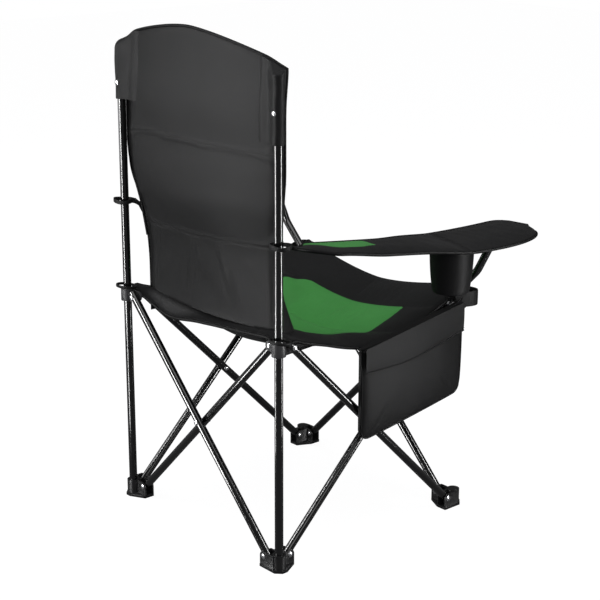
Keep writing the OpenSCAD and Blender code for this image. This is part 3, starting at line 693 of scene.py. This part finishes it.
def seat_half_width(y):
    """The seat is narrower in front of its side bands."""
    return (seat_high.x - seat_low.x) / 2 - 0.022 * ramp((middle - y) / corner, 0.78, 0.90)


rows, columns = 92, 96
ys = np.linspace(front_low.y, seat_high.y, rows)
cut = int(np.argmin(abs(ys - middle)))
ys[cut] = middle
across = np.linspace(-1, 1, columns)
grid_y = ys[:, None]
grid_x = seat_half_width(grid_y) * across
from_middle = grid_y - middle
seam_depth = np.maximum(near(from_middle, -crease_back, seam_w), near(from_middle, -change_back, seam_w))
seam_depth = np.maximum(seam_depth, near(abs(grid_x), panel_half, seam_w)
                        * (from_middle > -change_back - 0.004))
edge = 1 - abs(across) ** 14
half_t = seat_t / 2 * (0.35 + 0.65 * edge) * (1 - 0.55 * seam_depth)
border = np.clip((abs(grid_x) - border_x) / (seat_half_width(grid_y) - border_x), 0, 1)
taut = np.where(grid_x > 0, left_lift * ramp(from_middle, -0.170, -0.110),
                right_lift * ramp(from_middle, -0.085, 0.015))
raised = taut * np.sin(math.pi * border) ** 1.2 * ramp(-from_middle, -0.215, -0.155)
grid_z = seat_height(grid_x, grid_y) + raised
seat = pad("seat", sheet(grid_x, grid_y, grid_z + half_t), sheet(grid_x, grid_y, grid_z - half_t), seat_cloth)
inner = inside_of(rows, columns)
held = np.maximum(seam_depth, 1 - inner)
puff(seat, layered(held, np.maximum(held, 0.6)), 3.0, 0.005)
crumple(seat, 2, (9, 22, 0), 0.0016, 3, layered(inner, inner))
turn_r = np.where(grid_x > 0, 0.035, 0.003)
from_side = np.maximum(turn_r - panel_half + abs(grid_x), 0)
from_front = np.maximum(turn_r - from_middle - change_back, 0)
panel = np.minimum(turn_r - np.hypot(from_side, from_front), panel_end - from_middle)
seat_top, seat_under = points_of(seat).reshape(2, rows, columns, 3)
for part, first, last in (("front", 0, cut), ("rear", cut, rows - 1)):
    name, body = f"seat_{part}_half", f"seat_{part}_part"
    block = slice(first, last + 1)
    piece = pad("sewn_" + name, seat_top[block], seat_under[block], seat_cloth, crease=50)
    give_panel(piece, layered(panel[block], -1))
    hand_in(piece, body, name, side_squash)
    mid_line = (seat_top + seat_under)[block] / 2
    bind(f"seat_tape_{part}", rim_of(mid_line[::-1] if part == "front" else mid_line), body, side_squash,
         radius=0.0034)
bpy.data.objects.remove(seat)

# ---- Back ----
# A tall padded panel of the same cloth, quilted across at the shoulders and the waist. Its lower
# front is stuffed thicker, and rolls forwards on to the seat. Its edge is bound with tape.
body = body_of["back_panel"]
back_top = box("back_panel")[1].z
back_y = middle + corner - 0.033
waist_half, top_half, widens_from, widens_to = 0.216, 0.256, 0.620, 0.790
crown, tilt, round_h = 0.048, 0.005, 0.010
shoulder_z, waist_z, waist_tilt, waist_seam_half = 0.849, 0.651, 0.052, 0.22
groove_w, draw_w, draw_in = 0.0028, 0.016, 0.72
bow, thick, stitch_off, stitch_lift = 0.036, 0.006, 0.0035, 0.0004
under_rows, roll_from, roll_h, tape_from, green_top = 16, 0.443, 0.030, 0.66, 0.845
rows, columns = 104, 76
share = np.linspace(-1, 1, columns)[None, :]
row = np.arange(rows)[:, None]


def top_at(share):
    """Height of the top edge: a crown that stands a little higher at the left corner."""
    corners = 0.006 * ramp(abs(share), 0.78, 1) ** 1.5 + 0.004 * ramp(share, 0.93, 1) ** 2
    return back_top - crown * abs(share) ** 1.6 - corners + tilt * share + 0.002 * ramp(share, 0.35, 0.90)


def back_half(z):
    return waist_half + (top_half - waist_half) * ramp(z, widens_from, widens_to)


def shoulder_at(share):
    return shoulder_z - 0.014 * ramp(share, 0.5, 1)


def waist_at(x):
    return waist_z - waist_tilt * x


def drawn_in(z):
    """Rows that lie closer together at the two seams, so that a seam's groove is narrow."""
    for seam in (shoulder_at(share), waist_at(share * waist_seam_half)):
        z = z - draw_in * (z - seam) * near(z, seam, draw_w)
    return z


def seams_at(z):
    """1 on a seam of the back and 0 away from it."""
    waist = waist_at(share * back_half(z))
    return np.maximum(near(z, shoulder_at(share), groove_w), near(z, waist, groove_w))


def bow_at(z, share):
    """How far the panel stands rearwards of the straight line between its side edges."""
    at_posts = 0.019 * ramp(z, 0.62, 0.76) - 0.006 * ramp(z, 0.93, 1.02)
    return bow * (1 - share ** 2) * (0.25 + 0.75 * ramp(z, 0.49, 0.74)) + at_posts


def below_top(z):
    """0 at the top edge and 1 where the padding has its full thickness."""
    return np.sqrt(np.clip((top_edge - z) / round_h, 0, 1))


def row_near(grid, miss, lift):
    """The point of each column where miss is least, lifted off the cloth, without those at the ends."""
    return (grid[miss.argmin(axis=0), np.arange(grid.shape[1])] + lift)[2:-2]


top_edge = top_at(share)
rear_low = 0.484 + 0.010 * share ** 2
rear_z = drawn_in(rear_low + (top_edge - rear_low) * row / (rows - 1))
side_edge = np.clip((1 - abs(share)) / 0.11, 0, 1) ** 0.75
rear_seam = seams_at(rear_z)
rear_y = (back_y - 0.002 + bow_at(rear_z, share)
          + thick * below_top(rear_z) * side_edge * (1 - 0.45 * rear_seam))

tip_y = middle + 0.094
tip_z = seat_height(share * 0.207, tip_y) + 0.006
front_climb = np.clip((row - under_rows) / (rows - 1 - under_rows), 0, 1)
front_z = drawn_in(tip_z + (top_edge - tip_z) * front_climb)
front_seam = seams_at(front_z)
roll = (0.090 * (1 - np.exp(-np.clip(front_z - roll_from, 0, None) / roll_h))
        + 0.020 * ramp(front_z, 0.50, 0.60))
low_side = (1 - abs(share) ** 18) ** 0.35
side_now = low_side + (side_edge - low_side) * ramp(front_z, 0.58, 0.68)
front_y = (back_y - (back_y - tip_y - roll) * below_top(front_z) * side_now
           * (1 - 0.25 * front_seam * (front_z > 0.7)) + bow_at(front_z, share))
is_under = row < under_rows
low_y, low_z = rear_y[0] - 0.003, rear_z[0] - 0.002
front_y = np.where(is_under, low_y + (front_y[under_rows] - low_y) * row / under_rows, front_y)
front_z = np.where(is_under, low_z + (tip_z - low_z) * row / under_rows, front_z)
front_x = share * back_half(front_z)
piece = pad("padded_back", sheet(share * back_half(rear_z), rear_y, rear_z), sheet(front_x, front_y, front_z),
            seat_cloth)
inner = inside_of(rows, columns)
front_held = np.maximum(np.maximum(front_seam, 1 - inner), is_under)
puff(piece, layered(np.maximum(rear_seam, 1 - inner), front_held), 2.5, 0.0035)
crumple(piece, 1, (7, 0, 16), 0.0022, 11, layered(inner, inner))
panel = np.minimum(panel_half - abs(front_x), green_top - front_z)
give_panel(piece, layered(-1, np.where(is_under, -1, panel)))
piece.data.set_sharp_from_angle(angle=math.radians(60))
hand_in(piece, body, "back_panel", side_squash)
rear_now, front_now = points_of(piece).reshape(2, rows, columns, 3)
taped = rear_z[:, 0] > tape_from
bind("back_tape", rim_of(((rear_now + front_now) / 2)[taped]), body, side_squash, radius=0.003)
seams = (shoulder_at(share), waist_at(share * waist_seam_half))
sew("back_stitches", [row_near(rear_now, abs(rear_now[..., 2] - seam - stitch_off), (0, stitch_lift, 0))
                      for seam in seams], body, side_squash)

# ---- Post sleeves ----
# Pockets of the same cloth, sewn to the back's rear face and pulled down over the post tops.
# A rivet through each pins it to its post.
post_turns = np.radians(np.linspace(-75, 122, 32))
flat_share = np.linspace(0.08, 1, 12)[:, None]
levels = np.linspace(0, 1, 48)[:, None]
sleeve_slack, flat_end, flat_off, tuck, closing = 0.0006, 0.063, 0.022, 0.008, 0.012
for side, hand, short_by, corner_lift in (("left", 1, 0.026, 0.004), ("right", -1, 0, 0)):
    low, high = box("sleeve_" + side)
    x, y = hand * corner, middle + corner
    round_r = (high.x - low.x) / 2 + sleeve_slack
    wrap = np.stack([corner + round_r * np.cos(post_turns), y + round_r * np.sin(post_turns)], -1)
    flat_way = np.array((corner - flat_end, back_y + flat_off)) - wrap[-1]
    flat = wrap[-1] + flat_way * flat_share - np.array((0, 0.003)) * np.sin(math.pi * flat_share)
    section_x, section_y = np.concatenate([wrap, flat]).T
    count = len(section_x)
    top_share = hand * np.minimum(section_x / top_half, 1)
    top_z = top_at(top_share) - 0.001 + corner_lift * ramp(section_x, 0.240, top_half)
    low_z = low.z + short_by
    sz = low_z + (top_z - low_z) * np.sin(math.pi / 2 * levels)
    up = np.clip((sz - high.z + closing) / (top_z - high.z + closing), 0, 1)
    closed = 1 - np.sqrt(1 - up ** 2.2)
    panel_y = back_y + bow_at(sz, top_share) + 0.004
    sy = y + (section_y - y) * (1 + 0.05 * np.sin(sz * 90 + 2 * hand) * (1 - closed))
    sy = sy + (panel_y + 0.001 - sy) * closed
    sy = np.maximum(sy, panel_y + 0.0025) - tuck * ramp(np.arange(count), count - 5, count - 1)
    sx = section_x + (np.minimum(section_x, top_half + 0.0015) - section_x) * closed
    piece = pad("cloth_sleeve_" + side, sheet(hand * sx, sy, sz),
                sheet(hand * np.minimum(sx, top_half), panel_y - tuck, sz), black_cloth)
    crumple(piece, 1, (20, 0, 30), 0.0012, 31 + hand, layered(np.ones(sz.shape), 0))
    piece.data.set_sharp_from_angle(angle=math.radians(50))
    hand_in(piece, body_of["sleeve_" + side], "sleeve_" + side)
    rivet_low, rivet_high = box("sleeve_rivet_" + side)
    head_place = Vector((x, rivet_high.y - head_rise, (rivet_low.z + rivet_high.z) / 2))
    rivet_piece("sleeve_rivet_" + side, [(head_place, outwards[0])])

# ---- Straps and loops ----
# Polyester webbing: flat loops round the posts for the armrests and the seat's corners, ties from
# the armrests' loops to the back, and bands round the front corners.
webbing_t, webbing_sides, ring_gap = 0.0022, 16, 0.004
turns = np.linspace(0, math.tau, 48, endpoint=False)
tie_points = np.array([(-0.006, -0.013, 0.000), (-0.010, -0.017, 0.005), (-0.017, -0.023, -0.003),
                       (-0.025, -0.030, -0.024), (-0.029, -0.034, -0.036)])


def wound(name, rings, gap, crease, closed=False, pointed=False):
    """Black cloth over rings of points, which lie a gap apart. pointed is for end rings of no width."""
    count, sides = rings.shape[:2]
    number = np.arange(count * sides).reshape(count, sides)
    ahead = np.roll(number, -1, axis=0)
    faces = np.stack([number, np.roll(number, -1, axis=1), np.roll(ahead, -1, axis=1), ahead], -1)
    faces = (faces if closed else faces[:-1]).reshape(-1, 4).tolist()
    if not closed and not pointed:
        faces += [number[0].tolist(), number[-1, ::-1].tolist()]
    uv = np.stack(np.meshgrid(np.arange(sides) * gap, np.arange(count) * ring_gap), -1).reshape(-1, 2)
    return sewn(name, rings.reshape(-1, 3), faces, uv, black_cloth, crease, merge=pointed)


def strap(name, run, width, body, node=None, thick=webbing_t, closed=False, squash=None, wide=(0, 0, 1)):
    """Flat webbing along a path, with its width in the direction wide as far as the path lets it."""
    run = np.array(run, float)
    ahead, behind = np.roll(run, -1, axis=0), np.roll(run, 1, axis=0)
    if not closed:
        ahead[-1], behind[0] = run[-1], run[0]
    way = ahead - behind
    way /= np.linalg.norm(way, axis=1, keepdims=True)
    upright = np.array(wide) - way * (way @ wide)[:, None]
    upright /= np.linalg.norm(upright, axis=1, keepdims=True)
    angles = math.tau * np.arange(webbing_sides)[:, None] / webbing_sides
    tall, deep = np.sin(angles), np.cos(angles)
    tall, deep = np.copysign(abs(tall) ** 0.35, tall), np.copysign(abs(deep) ** 0.6, deep)
    rings = (run[:, None] + upright[:, None] * width / 2 * tall
             + np.cross(way, upright)[:, None] * thick / 2 * deep)
    hand_in(wound(name, rings, 0.002, 55, closed), body, node, squash)


def smoothed(points, count):
    """A curve through points, without its very end."""
    steps = np.linspace(0, len(points) - 1.001, count)
    i = steps.astype(int)
    f = (steps - i)[:, None]
    p0, p1, p2, p3 = (points[np.clip(i + d, 0, len(points) - 1)] for d in (-1, 0, 1, 2))
    return 0.5 * (2 * p1 + (p2 - p0) * f + (2 * p0 - 5 * p1 + 4 * p2 - p3) * f ** 2
                  + (3 * p1 - p0 - 3 * p2 + p3) * f ** 3)


for side, hand in (("left", 1), ("right", -1)):
    x, y = hand * corner, middle + corner
    node = "arm_loop_" + side
    z = box(node)[1].z - 0.008
    deep = np.where(np.sin(turns) > 0, 0.0170, 0.02125)
    strap("webbing_" + node, sheet(x + hand * 0.006 + 0.0225 * np.cos(turns),
                                   y + 0.001 + deep * np.sin(turns), z + 0.001 * np.sin(2 * turns)),
          0.0085, body_of[node], node, closed=True)
    steps = np.linspace(0, len(tie_points) - 1, 18)
    tie = [np.interp(steps, range(len(tie_points)), line) for line in tie_points.T]
    strap("webbing_arm_tie_" + side, sheet(x + hand * tie[0], y + tie[1], z + tie[2]), 0.006,
          body_of[node], wide=(0.3, 1, 0.3))
    node = "seat_loop_" + side
    low, high = box(node)
    z = (low.z + high.z) / 2
    strap("binding_" + node, sheet(x + hand * 0.004 + 0.0235 * np.cos(turns), y + 0.0195 * np.sin(turns),
                                   z + 0.002 * np.sin(turns)),
          0.006, body_of[node], node, thick=0.0035, closed=True)
    node = "seat_band_" + side
    low, high = box(node)
    reach = corner + 0.031
    front = middle - reach
    band = np.array([(corner - 0.045, middle - corner - 0.006), (corner - 0.020, front + 0.006),
                     (corner + 0.005, front + 0.001), (reach - 0.012, front), (reach - 0.004, front + 0.004),
                     (reach, front + 0.012), (reach - 0.001, front + 0.026), (reach - 0.008, front + 0.044),
                     (reach - 0.016, front + 0.060)])
    band_x, band_y = smoothed(band, 60).T
    strap("cloth_" + node, sheet(hand * band_x, band_y, (low.z + high.z) / 2 + 0.001), high.z - low.z,
          body_of[node], node, thick=0.0026)

# ---- Armrests ----
# Padded straps of the same cloth, sewn round with tape, that widen to a broad paddle at the front.
# A green panel lies on the strap, and a seam crosses it where the paddle begins.
arm_keep = {"left": 0.402, "right": 0.424}
span, arm_x, arm_z, arm_half_t = 2 * corner, corner + 0.007, 0.636, 0.004
rows, columns = 96, 34
share = np.linspace(-1, 1, columns)[None, :]
inner = inside_of(rows, columns)


def arm_squash(side):
    return {"axis": (0, 1, 0), "anchor": (0, hinge[side + "_armrest_fold"].y, 0), "keep": arm_keep[side]}


for side, hand, paddle_half, short_by, dip in (("left", 1, 0.040, 0.036, 0.012),
                                               ("right", -1, 0.073, 0.020, 0)):
    node = "armrest_" + side
    low, high = box(node)
    cap_low, cap_high = box("arm_cap_" + side)
    post_x = abs((cap_low.x + cap_high.x) / 2)
    first, last = (middle + corner - high.y) / span, (middle + corner - low.y) / span - short_by
    t = np.linspace(first, last, rows)[:, None]
    strap_half = 0.050 + 0.014 * t
    width = strap_half + (paddle_half - strap_half) * ramp(t, 0.5, 0.8)
    width = width * (0.22 + 0.78 * ramp(t, 0.09, 0.19))
    taper = 0.20 + 0.12 * share
    nose = np.clip((t - last + taper) / taper, 0, 1)
    width = width * np.clip(1 - nose ** 2.6, 0.0004, 1) ** 0.42
    height = arm_z + 0.050 * np.clip(t - 0.8, 0, None) ** 2 + 0.036 * np.clip(1 - t / 0.8, 0, None) ** 1.2
    height = height + 0.008 * (1 - ramp(t, 0, 0.12)) - 0.004 * ramp(t, 0.6, 0.8)
    height = height - dip * ramp(t, 0.06, 0.16) * (1 - ramp(t, 0.2, 0.5))
    gx = hand * (arm_x + (post_x - arm_x) * t + share * width)
    gy = middle + corner - span * t
    gz = (height - 0.005 * np.clip(share, 0, 1) ** 2 * ramp(t, 0.2, 0.4)
          + 0.003 * np.clip(-share, 0, 1) ** 2 * ramp(t, 0.5, 0.8))
    cross_seam = near(t, 0.775 - 0.03 * share, 0.008)
    half_t = arm_half_t * np.sqrt(np.clip(1 - abs(share) ** 10, 0.02, 1)) * (1 - 0.5 * cross_seam)
    piece = pad("padded_" + node, sheet(gx, gy, gz + half_t), sheet(gx, gy, gz - half_t), seat_cloth)
    held = np.maximum(cross_seam, 1 - inner)
    puff(piece, layered(held, np.maximum(held, 0.7)), 3.0, 0.003)
    far = np.clip((t - 0.5) * 2.2, 0.25, 1) * inner
    crumple(piece, 2, (26, 60, 0), 0.0020, 5 + hand, layered(far, far))
    limit = -1.05 + 1.42 * ramp(t, 0.11, 0.24) - 0.15 * ramp(t, 0.30, 0.41)
    give_panel(piece, layered(np.minimum((limit - share) * 0.05, (0.41 - t) * span), -1))
    body, squash = body_of[node], arm_squash(side)
    hand_in(piece, body, node, squash)
    above, below = points_of(piece).reshape(2, rows, columns, 3)
    line = (above + below) / 2
    tape_run = rim_of(line) + list(line[0, -2:0:-1])
    bind("armrest_tape_" + side, tape_run, body, squash, radius=0.0034, closed=True)
    sew("armrest_stitches_" + side, [row_near(above, abs(t - 0.79 + 0.03 * share), (0, 0, stitch_lift))],
        body, squash)

# ---- Cup holder ----
# A tapered cloth cup with a bound rim that hangs under the right armrest from short straps.
low, high = box("cup_holder")
centre = (low + high) / 2 - Vector((0, 0.004, 0))
rim_r, foot_r, cup_t, cup_h = (high.x - low.x) / 2, 0.038, 0.0022, high.z - low.z
body, squash = body_of["cup_holder"], arm_squash("right")
turns = np.linspace(0, math.tau, 72, endpoint=False)
profile = [(0.0, 0.0), (foot_r - 0.004, 0.0), (foot_r - 0.001, 0.001), (foot_r, 0.004)]
profile += [(foot_r + (rim_r - foot_r) * up ** 0.8 + 0.0012 * math.sin(math.pi * up), cup_h * up)
            for up in np.linspace(0.08, 1, 22)]
profile += [(r - cup_t, z) for r, z in reversed(profile[3:])]
profile += [(foot_r - 0.005, cup_t), (0.0, cup_t)]


def cup_ring(r, z):
    """A ring of the cup. Towards its rim the cloth is out of round and lifts at one side."""
    up = z / cup_h
    loose = r * (1 + 0.018 * up * np.sin(3 * turns + 0.7))
    lift = 0.0035 * up ** 2 * (np.sin(turns) + 0.6 * np.cos(turns))
    return sheet(centre.x + loose * np.cos(turns), centre.y + loose * np.sin(turns), low.z + z + lift)


piece = wound("cloth_cup_holder", np.array([cup_ring(r, z) for r, z in profile]), 0.0035, 60, pointed=True)
hand_in(piece, body, "cup_holder", squash)
bind("cup_rim_tape", cup_ring(rim_r - 0.001, cup_h), body, squash, radius=0.0026, closed=True)
for index, a in enumerate((1.2, 2.9, 4.6)):
    x, y = centre.x + (rim_r - 0.002) * math.cos(a), centre.y + (rim_r - 0.002) * math.sin(a)
    strap(f"cup_strap_{index}", sheet(x, y, np.linspace(high.z - 0.012, high.z + 0.0085, 6)), 0.016, body,
          squash=squash, wide=(-math.sin(a), math.cos(a), 0))

# ---- Side pouch and its flap ----
# A flat pocket of the same cloth that hangs from the seat's side tape, with a gusset round it and
# a flap over its mouth. It has something soft in it, so it bulges.
low, high = box("side_pouch")
flap_low, flap_high = box("pouch_flap")
body = body_of["side_pouch"]
squash = {"axis": (0, 1, 0), "anchor": (0, low.y, 0), "keep": 0.45}
pouch_l, fall, corner_cut = high.y - low.y, math.tan(math.radians(8.5)), 0.022
rows, columns = 56, 84
s, d = np.linspace(0, 1, columns)[None, :], np.linspace(0, 1, rows)[:, None]
pouch_top = high.z - fall * pouch_l * s
near_end = np.clip(1 - pouch_l * np.minimum(s, 1 - s) / corner_cut, 0, 1)
lift = corner_cut * (1 - np.sqrt(1 - near_end ** 2))
py = low.y + 0.003 + (pouch_l - 0.009) * s
pz = pouch_top - (high.z - low.z - pouch_l * fall + 0.012 - lift) * d
bulge = np.sin(math.pi * np.clip(s, 0.002, 0.998)) ** 0.25 * np.sin(math.pi * (0.12 + 0.86 * d)) ** 0.35
piece = pad("cloth_side_pouch", sheet(high.x - 0.006 - (high.x - low.x - 0.007) * bulge, py, pz),
            sheet(high.x - 0.0005, py, pz), black_cloth)
inner = inside_of(rows, columns)
puff(piece, layered(1 - inner, 1), 1.5, 0.003)
crumple(piece, 0, (0, 14, 9), 0.0018, 21, layered(inner, 0))
piece.data.set_sharp_from_angle(angle=math.radians(50))
hand_in(piece, body, "side_pouch", squash)
bind("pouch_tape", rim_of(points_of(piece).reshape(2, rows, columns, 3)[0]), body, squash, radius=0.0022)

d = np.linspace(0, 1, 10)[:, None]
hang_y = low.y + 0.012 + (pouch_l - 0.014) * s
hem_z = seat_height(-corner, hang_y) - 0.004
hang_x, hang_z = low.x + 0.005 + 0.004 * d, hem_z + (pouch_top - 0.004 - hem_z) * d
piece = pad("cloth_pouch_hanger", sheet(hang_x - 0.001, hang_y, hang_z),
            sheet(hang_x + 0.001, hang_y, hang_z), black_cloth)
hand_in(piece, body, squash=squash)

body = body_of["pouch_flap"]
d = np.linspace(0, 1, 14)[:, None]
flap_half_t = 0.0011
fy = low.y + 0.013 + (pouch_l - 0.016) * s
flap_depth = flap_high.z - flap_low.z - pouch_l * fall
flap_line = high.z - 0.012 - flap_depth - 0.034 * (1 - np.clip(1 - s / 0.67, 0, 1) ** 1.4)
fz = pouch_top + 0.004 + (flap_line - pouch_top - 0.004) * d
fx = flap_high.x - 0.0018 - 0.001 * np.sin(math.pi * d) + 0.0008 * np.sin(9 * s) * d
outer = sheet(fx - flap_half_t, fy, fz)
piece = pad("cloth_pouch_flap", outer, sheet(fx + flap_half_t, fy, fz), black_cloth, crease=50)
hand_in(piece, body, "pouch_flap", squash)
bind("flap_tape", outer[-1], body, squash, radius=0.0018)
sew("flap_stitches", [outer[-2] - (0.0003, 0, 0)], body, squash)
